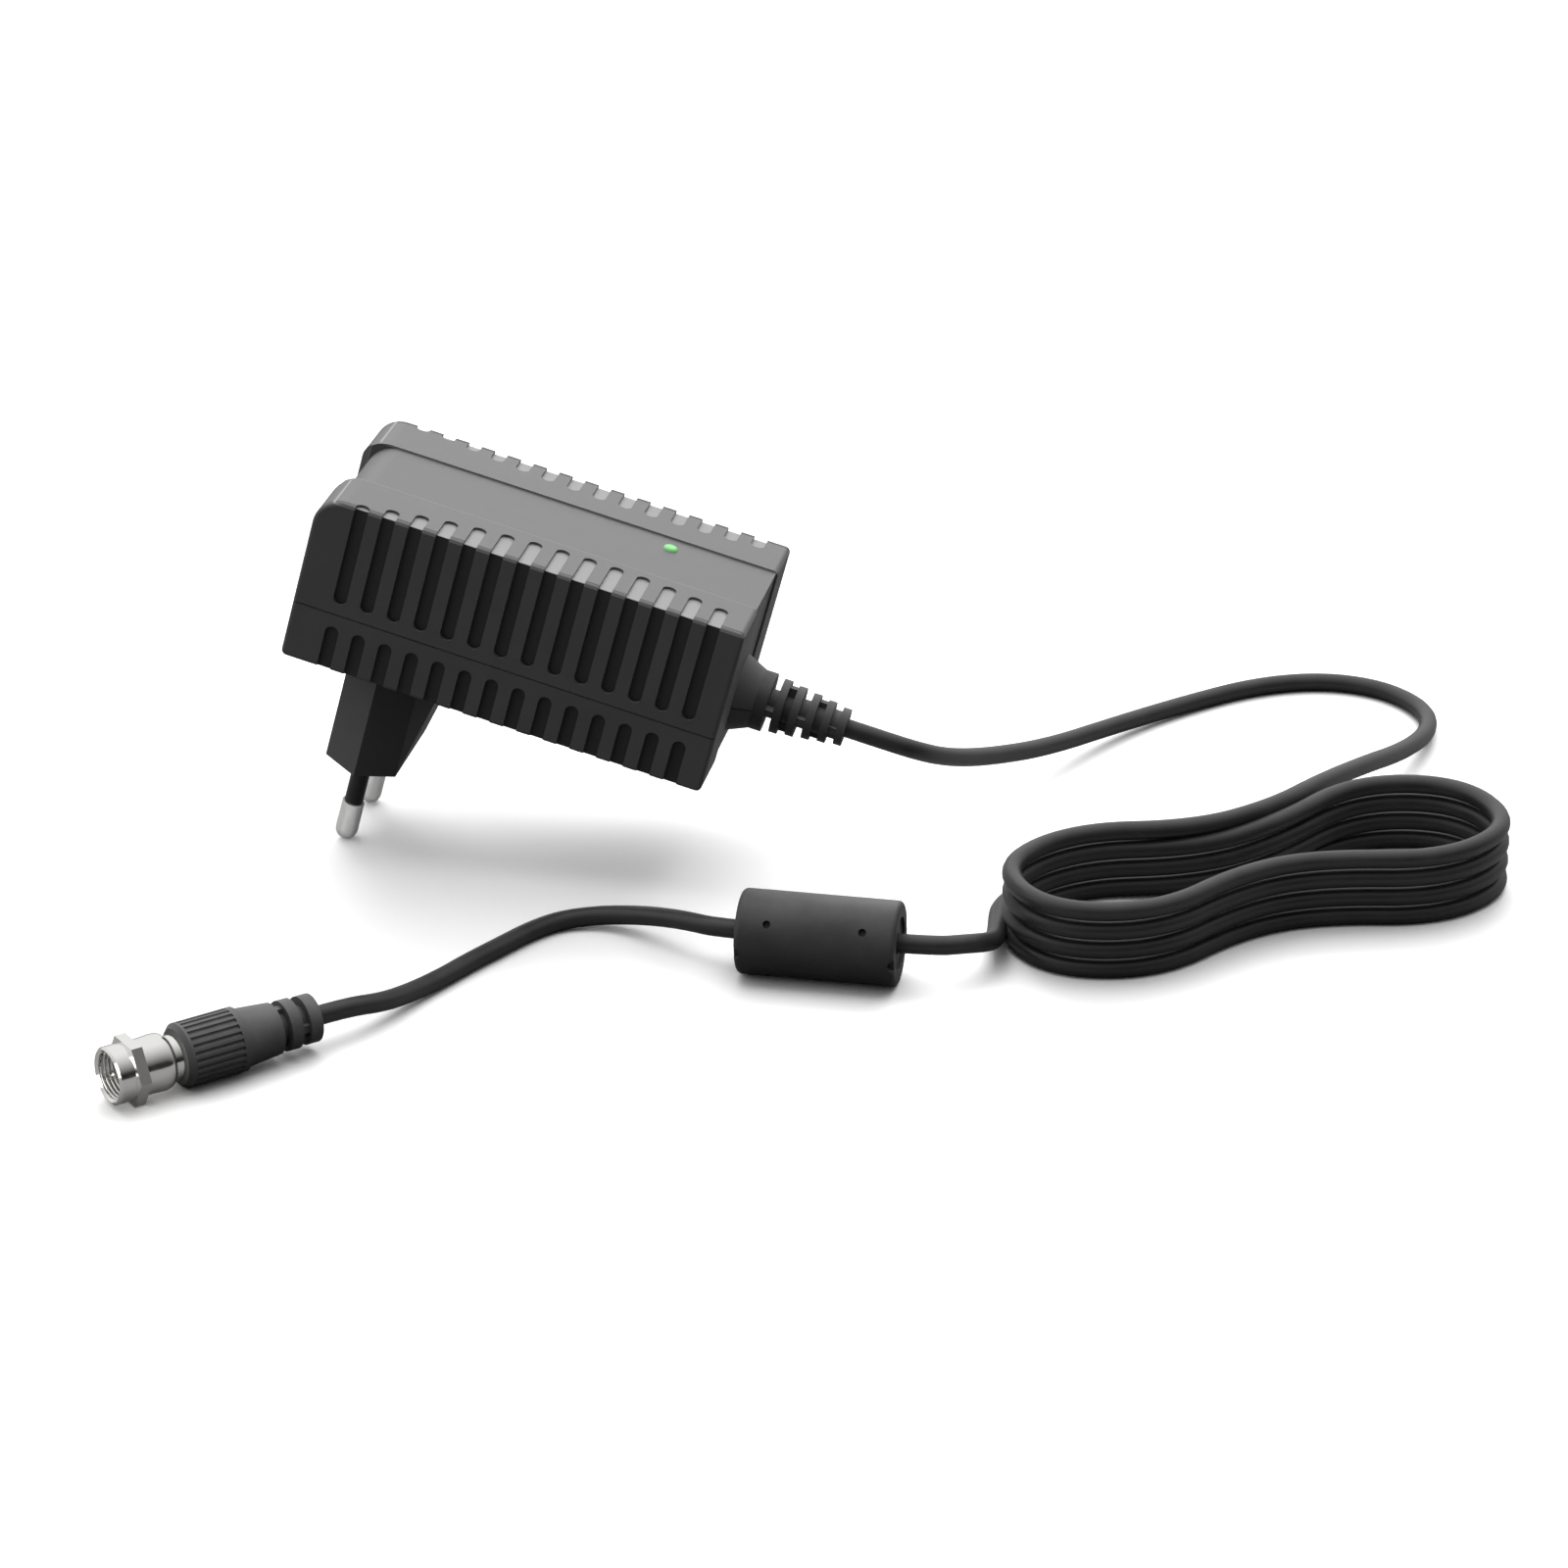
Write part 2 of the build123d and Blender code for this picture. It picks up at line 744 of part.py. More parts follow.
def bead_ring(start, length, outer, inner, mode=Mode.ADD):
    with BuildSketch(Plane.YZ.offset(start)) as ring:
        with Locations((bead_y, bead_height)):
            Circle(outer / 2)
            Circle(inner / 2, mode=Mode.SUBTRACT)
    extrude(ring.sketch, amount=length, mode=mode)


def drill_bead(x, turn, diameter, depth):
    # A blind hole square to the bead's axis, turned from its top towards the front
    radial = Vector(0, -math.sin(math.radians(turn)), math.cos(math.radians(turn)))
    foot = Vector(x, bead_y, bead_height) + radial * (bead_height - depth)
    with BuildSketch(Plane(origin=foot, x_dir=(1, 0, 0), z_dir=radial)) as hole:
        Circle(diameter / 2)
    extrude(hole.sketch, amount=bead_height, mode=Mode.SUBTRACT)


with BuildPart() as ferrite_cover:
    bead_ring(bead_left, bead_length, bead_diameter, bead_bore_diameter)
    fillet(ferrite_cover.edges().filter_by(GeomType.CIRCLE).group_by(SortBy.RADIUS)[-1], radius=bead_edge_radius)
    bead_ring(bead_left, bead_rim_depth, bead_rim_diameter, bead_bore_diameter, Mode.SUBTRACT)
    bead_ring(bead_right - bead_rim_depth, bead_rim_depth, bead_rim_diameter, bead_bore_diameter, Mode.SUBTRACT)
    bead_ring(
        bead_x - core_bead_length / 2,
        core_bead_length,
        bead_diameter - 2 * bead_wall,
        bead_bore_diameter,
        Mode.SUBTRACT,
    )
    for opposite in (0, 180):
        parting = bead_parting_turn + opposite
        for x in (bead_x - bead_latch_spacing / 2, bead_x + bead_latch_spacing / 2):
            for turn in (parting - bead_latch_turn, parting + bead_latch_turn):
                drill_bead(x, turn, bead_latch_diameter, bead_latch_depth)
        for x in (bead_left, bead_right):
            drill_bead(x, parting, bead_notch_diameter, bead_notch_depth)

with BuildPart() as ferrite_core:
    bead_ring(
        bead_x - core_bead_length / 2 + bead_core_clearance,
        core_bead_length - 2 * bead_core_clearance,
        bead_diameter - 2 * bead_wall - 2 * bead_core_clearance,
        bead_core_bore_diameter,
    )


# Coaxial plug: its side view is drawn from the front rim back along its axis

back = Vector(math.cos(math.radians(nose_angle)), math.sin(math.radians(nose_angle)), 0)
aside = Vector(math.sin(math.radians(nose_angle)), -math.cos(math.radians(nose_angle)), 0)
nose = Vector(nose_x, nose_y, grip_diameter / 2)
plug_side = Plane(origin=nose, x_dir=back, z_dir=aside)
plug_axis = Axis(nose, back)


def across_plug(distance):
    # The plane square to the plug's axis, this far behind the front rim, with its x up
    return Plane(origin=nose + back * distance, x_dir=(0, 0, 1), z_dir=back)


def turn_profile(*points, mode=Mode.ADD):
    with BuildSketch(plug_side) as profile:
        with BuildLine():
            Polyline(*points, close=True)
        make_face()
    revolve(profile.sketch, axis=plug_axis, mode=mode)


nut_hex_end = nut_front_length + nut_hex_length
dome_start = nut_hex_end + nut_rear_length
nut_bore_end = nut_length - nut_lip_length
flange_end = nut_bore_end - nut_play
collar_start = nut_length + nut_play
collar_end = collar_start + collar_length

with BuildPart() as coupling_nut:
    turn_profile(
        (0, 0),
        (0, nut_front_diameter / 2 - nut_edge),
        (nut_edge, nut_front_diameter / 2),
        (nut_front_length, nut_front_diameter / 2),
        (nut_front_length, 0),
    )
    with BuildSketch(across_plug(nut_front_length)):
        RegularPolygon(nut_across_flats / 2, 6, major_radius=False, rotation=30)
    extrude(amount=nut_hex_length)
    with BuildSketch(plug_side):
        with BuildLine():
            Line((nut_hex_end, 0), (nut_hex_end, nut_rear_diameter / 2))
            Line((nut_hex_end, nut_rear_diameter / 2), (dome_start, nut_rear_diameter / 2))
            Spline(
                (dome_start, nut_rear_diameter / 2),
                (nut_length, nut_tail_diameter / 2),
                tangents=((1, 0), (0, -1)),
            )
            Line((nut_length, nut_tail_diameter / 2), (nut_length, 0))
            Line((nut_length, 0), (nut_hex_end, 0))
        make_face()
    revolve(axis=plug_axis)
    with BuildSketch(across_plug(0)):
        Circle(nut_bore_diameter / 2)
    extrude(amount=nut_bore_end, mode=Mode.SUBTRACT)
    with BuildSketch(across_plug(0)):
        Circle(neck_diameter / 2 + neck_clearance)
    extrude(amount=nut_length, mode=Mode.SUBTRACT)
    turn_profile(
        (0, 0),
        (0, nut_bore_diameter / 2 + nut_mouth_chamfer),
        (nut_mouth_chamfer, nut_bore_diameter / 2),
        (nut_mouth_chamfer, 0),
        mode=Mode.SUBTRACT,
    )

with BuildPart() as connector_body:
    turn_profile(
        (flange_end - flange_length, 0),
        (flange_end - flange_length, flange_diameter / 2),
        (flange_end, flange_diameter / 2),
        (flange_end, neck_diameter / 2),
        (collar_start, neck_diameter / 2),
        (collar_start, collar_diameter / 2),
        (collar_end, collar_diameter / 2),
        (collar_end, stem_diameter / 2),
        (collar_end + stem_length, stem_diameter / 2),
        (collar_end + stem_length, 0),
    )
    with BuildSketch(across_plug(flange_end - flange_length)):
        Circle(insulator_diameter / 2)
    extrude(amount=insulator_length, mode=Mode.SUBTRACT)

with BuildPart() as dielectric:
    with BuildSketch(across_plug(flange_end - flange_length)):
        Circle(insulator_diameter / 2)
        Circle(contact_diameter / 2, mode=Mode.SUBTRACT)
    extrude(amount=insulator_length)

with BuildPart() as contact_pin:
    turn_profile(
        (contact_setback, 0),
        (contact_setback + contact_cone_length, contact_diameter / 2),
        (flange_end - flange_length + insulator_length, contact_diameter / 2),
        (flange_end - flange_length + insulator_length, 0),
    )

grip_end = collar_end + grip_length
taper_end = grip_end + taper_length
ring_a_start = taper_end + boot_gap_length
ring_a_end = ring_a_start + boot_ring_a_length
ring_b_start = ring_a_end + boot_gap_length
boot_end = ring_b_start + boot_ring_b_length

with BuildPart() as connector_boot:
    turn_profile(
        (collar_end, 0),
        (collar_end, grip_diameter / 2 - grip_chamfer),
        (collar_end + grip_chamfer, grip_diameter / 2),
        (grip_end, grip_diameter / 2),
        (grip_end, taper_start_diameter / 2),
        (taper_end, taper_end_diameter / 2),
        (taper_end, boot_core_diameter / 2),
        (ring_a_start, boot_core_diameter / 2),
        (ring_a_start, boot_ring_a_diameter / 2),
        (ring_a_end, boot_ring_a_diameter / 2),
        (ring_a_end, boot_core_diameter / 2),
        (ring_b_start, boot_core_diameter / 2),
        (ring_b_start, boot_ring_b_diameter / 2),
        (boot_end, boot_ring_b_diameter / 2),
        (boot_end, 0),
    )
    with BuildSketch(across_plug(taper_end)):
        Rectangle(boot_ring_a_diameter - boot_gap_length, boot_web_width)
    extrude(amount=boot_gap_length)
    with BuildSketch(across_plug(ring_a_end)):
        Rectangle(boot_web_width, boot_ring_b_diameter - boot_gap_length)
    extrude(amount=boot_gap_length)
    with BuildSketch(across_plug(collar_end + grip_end_margin)):
        with PolarLocations(grip_diameter / 2, grip_rib_count):
            Circle(grip_groove_diameter / 2)
    extrude(amount=grip_length - 2 * grip_end_margin, mode=Mode.SUBTRACT)
    with BuildSketch(across_plug(collar_end)):
        Circle(stem_diameter / 2)
    extrude(amount=stem_length, mode=Mode.SUBTRACT)


# Stance: the pin tips touch the floor, and the middle of the supply is over the origin

supply = {
    "upper_shell": upper_shell,
    "lower_shell": lower_shell,
    "plug_body": plug_body,
    "pin_front": pin_front,
    "pin_rear": pin_rear,
    "pin_sleeve_front": pin_sleeve_front,
    "pin_sleeve_rear": pin_sleeve_rear,
    "contact_strip_front": contact_strip_front,
    "contact_strip_rear": contact_strip_rear,
    "strain_relief": strain_relief,
    "led": led,
    "led_legs": led_legs,
    "circuit_board": circuit_board,
    "transformer_core": transformer_core,
    "transformer_winding": transformer_winding,
    "input_capacitor": input_capacitor,
    "output_capacitor": output_capacitor,
    "inductor": inductor,
    "diode_heatsink": diode_heatsink,
    "suppression_capacitor": suppression_capacitor,
    "fuse": fuse,
    "lead_wires": lead_wires,
}
leaned = Location((0, 0, 0), (0, lean, 0))
boxes = [piece.part.moved(leaned).bounding_box() for piece in supply.values()]
left = min(box.min.X for box in boxes)
right = max(box.max.X for box in boxes)
bottom = min(box.min.Z for box in boxes)
stance = Location((-(left + right) / 2, 0, -bottom), (0, lean, 0))


# Cord: its free stretches are points on the floor, in millimetres from the origin

def standing_point(x, y, z):
    return Vector(*(stance * Location((x, y, z))).position)


def hank_point(u, v, z):
    # A point of the hank, from the middle of its turns: u along the hank, v across it
    turn = math.radians(hank_angle)
    x = hank_x + u * math.cos(turn) - v * math.sin(turn)
    y = hank_y + u * math.sin(turn) + v * math.cos(turn)
    return Vector(x, y, z)


def corner_radii(points):
    radii = []
    for before, corner, after in zip(points, points[1:], points[2:]):
        first = corner - before
        second = after - corner
        half_turn = math.radians(first.get_angle(second)) / 2
        radii.append(cord_arc_share * min(first.length, second.length) / math.tan(half_turn))
    return radii


def lay_cord(name, points):
    radii = corner_radii(points)
    with BuildPart() as cord:
        with BuildLine():
            route = FilletPolyline(*points, radius=radii)
        with BuildSketch(Plane(origin=route @ 0, z_dir=route % 0)):
            Circle(cord_radius)
        sweep(path=route)
    length = route.length
    solid = math.pi * cord_radius**2 * length
    print(name, "length", round(length, 1), "least radius", round(min(radii), 1))
    print(name, "radii", [round(radius, 1) for radius in radii])
    print(name, "volume", round(cord.part.volume, 1), "section by length", round(solid, 1))
    return cord, route


exit_point = standing_point(relief_end, 0, seam_height)
exit_way = (exit_point - standing_point(relief_start, 0, seam_height)).normalized()
top_layer = cord_radius + (hank_turns - 1) * hank_pitch
lead_lane = hank_point(10.0, 16.8, top_layer)
entry_lane = hank_point(-9.0, 15.8, top_layer)
lead_join = (lead_lane + entry_lane) / 2

lead_points = [
    exit_point,
    exit_point + exit_way * cord_straight_run,
    Vector(72.0, 4.0, 25.4),
    Vector(77.2, 14.5, 20.8),
    Vector(82.4, 30.0, 14.4),
    Vector(92.2, 51.0, 7.6),
    Vector(104.6, 75.0, 3.0),
    Vector(118.2, 92.0, 2.0),
    Vector(132.6, 105.4, 2.0),
    Vector(147.7, 111.6, 2.0),
    Vector(162.1, 108.9, 2.0),
    Vector(172.0, 98.0, 2.2),
    Vector(173.6, 83.5, 3.2),
    Vector(169.0, 64.5, 6.5),
    Vector(162.0, 43.8, 11.8),
    hank_point(26.0, 25.0, 15.2),
    lead_lane,
    lead_join,
]

# One turn of the hank, from the back of its waist round the left lobe and the right one
turn_outline = [
    Vector(-waist.X, waist.Y),
    Vector(-lobe_side.X, lobe_side.Y),
    Vector(-lobe_end.X, lobe_end.Y),
    Vector(-lobe_end.X, -lobe_end.Y),
    Vector(-lobe_side.X, -lobe_side.Y),
    Vector(-waist.X, -waist.Y),
    Vector(waist.X, -waist.Y),
    Vector(lobe_side.X, -lobe_side.Y),
    Vector(lobe_end.X, -lobe_end.Y),
    Vector(lobe_end.X, lobe_end.Y),
    Vector(lobe_side.X, lobe_side.Y),
    Vector(waist.X, waist.Y),
]

hank_points = [lead_join, entry_lane, hank_point(-34.0, 25.6, top_layer)]
for turn_number in range(hank_turns):
    layer = top_layer - turn_number * hank_pitch
    for corner_number, corner in enumerate(turn_outline):
        if turn_number == 0 and corner_number < 2:
            continue
        # The first corner still lies on the layer above, so the climb is along one run
        height = layer + hank_pitch if corner_number == 0 else layer
        hank_points.append(hank_point(corner.X, corner.Y, height))
hank_points[-1] = hank_point(9.0, 12.0, cord_radius)
leaving_lane = hank_point(-9.0, 15.4, cord_radius)
tail_lane = hank_point(-32.0, 25.8, cord_radius)
tail_join = (leaving_lane + tail_lane) / 2
hank_points += [leaving_lane, tail_join]

boot_back = nose + back * boot_end

tail_points = [
    tail_join,
    tail_lane,
    hank_point(-48.5, 22.0, 2.0),
    Vector(92.2, -34.0, 2.6),
    Vector(92.8, -44.6, 4.7),
    Vector(89.0, -51.2, 7.0),
    Vector(82.4, bead_y, bead_height),
    Vector(41.0, bead_y, bead_height),
    Vector(33.6, -51.0, 7.8),
    Vector(26.6, -46.6, 6.0),
    Vector(20.0, -42.9, 4.0),
    Vector(12.6, -41.6, 2.6),
    Vector(5.4, -44.0, 2.0),
    Vector(0.4, -50.2, 2.0),
    Vector(-3.8, -58.2, 2.0),
    Vector(-8.2, -66.4, 2.0),
    Vector(-12.0, -74.6, 2.0),
    Vector(-15.8, -82.8, 2.6),
    Vector(-19.2, -91.6, 4.4),
    boot_back + back * cord_straight_run,
    boot_back,
]

cord_lead, lead_line = lay_cord("cord_lead", lead_points)
cord_hank, hank_line = lay_cord("cord_hank", hank_points)
cord_tail, tail_line = lay_cord("cord_tail", tail_points)


def least_gap(line, step, skip):
    # Least distance between stretches of the tube that are further apart along it than skip
    count = round(line.length / step)
    places = [line @ (number / count) for number in range(count + 1)]
    least = math.inf
    for number, place in enumerate(places):
        for other in places[number + round(skip / step) :]:
            least = min(least, (place - other).length)
    return least - cord_diameter


print("hank self-gap", round(least_gap(hank_line, cord_radius / 2, 5 * cord_diameter), 2))
print("cord total", round(lead_line.length + hank_line.length + tail_line.length, 1))

lying = {
    "cord_lead": cord_lead,
    "cord_hank": cord_hank,
    "cord_tail": cord_tail,
    "ferrite_cover": ferrite_cover,
    "ferrite_core": ferrite_core,
    "connector_boot": connector_boot,
    "connector_body": connector_body,
    "coupling_nut": coupling_nut,
    "dielectric": dielectric,
    "contact_pin": contact_pin,
}

os.makedirs("parts", exist_ok=True)
for name, piece in supply.items():
    piece.part = piece.part.moved(stance)
    piece.part.label = name
    export_step(piece.part, f"parts/{name}.step")
for name, piece in lying.items():
    piece.part.label = name
    export_step(piece.part, f"parts/{name}.step")
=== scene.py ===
import math

import bpy
from mathutils import Matrix, Vector


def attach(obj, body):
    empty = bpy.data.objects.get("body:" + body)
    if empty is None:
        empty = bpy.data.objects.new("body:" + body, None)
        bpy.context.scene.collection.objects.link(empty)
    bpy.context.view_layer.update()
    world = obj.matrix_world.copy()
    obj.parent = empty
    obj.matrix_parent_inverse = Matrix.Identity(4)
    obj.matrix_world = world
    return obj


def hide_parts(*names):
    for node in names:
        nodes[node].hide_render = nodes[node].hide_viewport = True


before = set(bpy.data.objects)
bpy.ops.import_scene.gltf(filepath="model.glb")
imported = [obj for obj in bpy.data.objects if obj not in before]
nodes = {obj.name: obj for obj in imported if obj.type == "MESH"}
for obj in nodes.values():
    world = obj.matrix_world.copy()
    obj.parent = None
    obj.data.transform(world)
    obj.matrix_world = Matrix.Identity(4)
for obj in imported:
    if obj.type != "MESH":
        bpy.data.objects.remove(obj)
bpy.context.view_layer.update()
mm = 0.001

# small helpers


def say(stage):
    print("stage:", stage)


def mmPoint(x, y, z):
    return Vector((x, y, z)) * mm


def setMaterial(names, material):
    for name in names:
        slots = nodes[name].data.materials
        slots.clear()
        slots.append(material)


# materials: a moulded or plain surface, with its grain from noise in the piece's own metres

def addNode(tree, kind, **values):
    node = tree.nodes.new(kind)
    for key, value in values.items():
        if key in node.inputs:
            node.inputs[key].default_value = value
        else:
            setattr(node, key, value)
    return node


def startMaterial(name, color, roughness, metallic=0.0, specular=0.5):
    material = bpy.data.materials.new(name)
    material.use_nodes = True
    material.diffuse_color = (*color, 1)
    shader = material.node_tree.nodes["Principled BSDF"]
    shader.inputs["Base Color"].default_value = (*color, 1)
    shader.inputs["Roughness"].default_value = roughness
    shader.inputs["Metallic"].default_value = metallic
    shader.inputs["Specular IOR Level"].default_value = specular
    return material, shader


noiseLook = {
    "grainDetail": 3.0,
    "grainHeight": 0.2,
    "shineDetail": 4.0,
    "shineLimits": (0.3, 0.7),
    "colorDetail": 5.0,
    "colorLimits": (0.35, 0.65),
}


def addGrain(material, shader, scale, depth):
    # fine bumps all over the surface
    tree = material.node_tree
    place = addNode(tree, "ShaderNodeTexCoord")
    noise = addNode(tree, "ShaderNodeTexNoise", Scale=scale, Detail=noiseLook["grainDetail"])
    bump = addNode(tree, "ShaderNodeBump", Strength=depth, Distance=noiseLook["grainHeight"] * mm)
    tree.links.new(place.outputs["Object"], noise.inputs["Vector"])
    tree.links.new(noise.outputs["Fac"], bump.inputs["Height"])
    tree.links.new(bump.outputs["Normal"], shader.inputs["Normal"])


def varyRoughness(material, shader, scale, low, high):
    # handling leaves patches that shine a little more
    tree = material.node_tree
    place = addNode(tree, "ShaderNodeTexCoord")
    noise = addNode(tree, "ShaderNodeTexNoise", Scale=scale, Detail=noiseLook["shineDetail"])
    spread = addNode(tree, "ShaderNodeMapRange")
    spread.inputs["From Min"].default_value = noiseLook["shineLimits"][0]
    spread.inputs["From Max"].default_value = noiseLook["shineLimits"][1]
    spread.inputs["To Min"].default_value = low
    spread.inputs["To Max"].default_value = high
    tree.links.new(place.outputs["Object"], noise.inputs["Vector"])
    tree.links.new(noise.outputs["Fac"], spread.inputs["Value"])
    tree.links.new(spread.outputs["Result"], shader.inputs["Roughness"])


def varyColor(material, shader, scale, dark, light):
    tree = material.node_tree
    place = addNode(tree, "ShaderNodeTexCoord")
    noise = addNode(tree, "ShaderNodeTexNoise", Scale=scale, Detail=noiseLook["colorDetail"])
    ramp = addNode(tree, "ShaderNodeValToRGB")
    ramp.color_ramp.elements[0].position = noiseLook["colorLimits"][0]
    ramp.color_ramp.elements[1].position = noiseLook["colorLimits"][1]
    ramp.color_ramp.elements[0].color = (*dark, 1)
    ramp.color_ramp.elements[1].color = (*light, 1)
    tree.links.new(place.outputs["Object"], noise.inputs["Vector"])
    tree.links.new(noise.outputs["Fac"], ramp.inputs["Fac"])
    tree.links.new(ramp.outputs["Color"], shader.inputs["Base Color"])


# the shells stand leaned over, so heights in the case are measured along this direction
stance = {"lean": 15.1, "place": (-58.159, 0.0, 48.257)}

casePlastic = {
    "dark": (0.110, 0.110, 0.111),
    "light": (0.125, 0.125, 0.126),
    # painted shade: the groove floors are coloured darker to stand for the shade that falls in the grooves
    "paintedGrooveShade": (0.034, 0.034, 0.035),
    # painted light: the notch floors in the top edge are coloured paler to stand for light glancing off them
    "paintedNotchLight": (0.24, 0.24, 0.24),
    "patchScale": 90,
    "roughness": (0.56, 0.64),
    "specular": 0.38,
    "grainScale": 5200,
    "grainDepth": 0.12,
    "grooveLimits": (23.5, 24.2),
    "notchSide": 11.5,
    "notchLimits": (36.5, 36.72),
    # painted light: the band's step wall faces away from the light and is coloured paler to stand for light
    # on it
    "paintedStepLight": (0.26, 0.26, 0.26),
    "stepLimits": (10.42, 10.58),
    "stepFoot": 36.7,
}


def mathNode(tree, operation, first, second=None):
    node = tree.nodes.new("ShaderNodeMath")
    node.operation = operation
    for number, value in enumerate((first, second)):
        if value is None:
            continue
        if isinstance(value, (int, float)):
            node.inputs[number].default_value = value
        else:
            tree.links.new(value, node.inputs[number])
    return node.outputs[0]


def insideLimits(tree, value, limits):
    low, high = limits
    above = mathNode(tree, "GREATER_THAN", value, low * mm)
    below = mathNode(tree, "LESS_THAN", value, high * mm)
    return mathNode(tree, "MULTIPLY", above, below)


def mixColor(tree, factor, first, second):
    node = tree.nodes.new("ShaderNodeMix")
    node.data_type = "RGBA"
    tree.links.new(factor, node.inputs["Factor"])
    tree.links.new(first, node.inputs["A"])
    node.inputs["B"].default_value = (*second, 1)
    return node.outputs["Result"]


def paintCaseShadeAndLight(material, shader):
    # painted shade and light: the groove floors are painted darker than the ribs as shade, the notches in the
    # top edge and the band's step are painted paler as light
    tree = material.node_tree
    place = addNode(tree, "ShaderNodeTexCoord")
    parts = addNode(tree, "ShaderNodeSeparateXYZ")
    tree.links.new(place.outputs["Object"], parts.inputs[0])
    side = mathNode(tree, "ABSOLUTE", parts.outputs["Y"])
    grooves = insideLimits(tree, side, casePlastic["grooveLimits"])
    lean = math.radians(stance["lean"])
    x, _, z = stance["place"]
    alongX = mathNode(tree, "MULTIPLY", parts.outputs["X"], math.sin(lean))
    alongZ = mathNode(tree, "MULTIPLY", parts.outputs["Z"], math.cos(lean))
    height = mathNode(tree, "ADD", alongX, alongZ)
    height = mathNode(tree, "SUBTRACT", height, (x * math.sin(lean) + z * math.cos(lean)) * mm)
    notches = insideLimits(tree, height, casePlastic["notchLimits"])
    outside = mathNode(tree, "GREATER_THAN", side, casePlastic["notchSide"] * mm)
    notches = mathNode(tree, "MULTIPLY", notches, outside)
    plain = shader.inputs["Base Color"].links[0].from_socket
    darkened = mixColor(tree, grooves, plain, casePlastic["paintedGrooveShade"])
    paler = mixColor(tree, notches, darkened, casePlastic["paintedNotchLight"])
    step = insideLimits(tree, side, casePlastic["stepLimits"])
    raised = mathNode(tree, "GREATER_THAN", height, casePlastic["stepFoot"] * mm)
    step = mathNode(tree, "MULTIPLY", step, raised)
    finished = mixColor(tree, step, paler, casePlastic["paintedStepLight"])
    tree.links.new(finished, shader.inputs["Base Color"])


def makeCasePlastic():
    material, shader = startMaterial("casePlastic", casePlastic["light"], casePlastic["roughness"][0],
                                     specular=casePlastic["specular"])
    varyColor(material, shader, casePlastic["patchScale"], casePlastic["dark"], casePlastic["light"])
    paintCaseShadeAndLight(material, shader)
    varyRoughness(material, shader, casePlastic["patchScale"], *casePlastic["roughness"])
    addGrain(material, shader, casePlastic["grainScale"], casePlastic["grainDepth"])
    return material


softPlastic = {
    "patchScale": 120,
    "roughness": {
        "reliefPlastic": (0.48, 0.58),
        "bootPlastic": (0.48, 0.58),
        "beadPlastic": (0.48, 0.58),
        "cordJacket": (0.36, 0.44),
    },
    "specular": {"reliefPlastic": 0.30, "bootPlastic": 0.30, "beadPlastic": 0.30, "cordJacket": 0.55},
    "grainScale": 3600,
    "grainDepth": 0.10,
    "darkShare": 0.72,
    "colors": {
        "reliefPlastic": (0.115, 0.115, 0.116),
        "bootPlastic": (0.140, 0.140, 0.141),
        "beadPlastic": (0.080, 0.080, 0.081),
        "cordJacket": (0.044, 0.044, 0.045),
    },
}


def makeSoftPlastic(name):
    light = softPlastic["colors"][name]
    dark = tuple(softPlastic["darkShare"] * value for value in light)
    roughness = softPlastic["roughness"][name]
    material, shader = startMaterial(name, light, roughness[0], specular=softPlastic["specular"][name])
    varyColor(material, shader, softPlastic["patchScale"], dark, light)
    varyRoughness(material, shader, softPlastic["patchScale"], *roughness)
    addGrain(material, shader, softPlastic["grainScale"], softPlastic["grainDepth"])
    return material


# the grain of metals and inner pieces is finer than their patches by these factors
grainFactor = {"metal": 4, "board": 5}
boardGrain = 0.08

metalFinishes = {
    "pinMetal": {"color": (0.92, 0.92, 0.91), "roughness": (0.42, 0.54), "scale": 700, "grain": 0.08,
                 "metallic": 0.6},
    "nickelPlate": {"color": (0.80, 0.79, 0.77), "roughness": (0.10, 0.17), "scale": 400, "grain": 0.02},
    "brassStrip": {"color": (0.72, 0.55, 0.26), "roughness": (0.28, 0.38), "scale": 500, "grain": 0.05},
    "tinnedLeg": {"color": (0.74, 0.74, 0.73), "roughness": (0.25, 0.35), "scale": 900, "grain": 0.05},
    "bareAluminium": {"color": (0.77, 0.78, 0.79), "roughness": (0.30, 0.42), "scale": 300, "grain": 0.06},
    "platedContact": {"color": (0.84, 0.82, 0.76), "roughness": (0.16, 0.24), "scale": 900, "grain": 0.02},
}


def makeMetal(name):
    look = metalFinishes[name]
    material, shader = startMaterial(name, look["color"], look["roughness"][0], look.get("metallic", 1.0))
    varyRoughness(material, shader, look["scale"], *look["roughness"])
    addGrain(material, shader, look["scale"] * grainFactor["metal"], look["grain"])
    return material


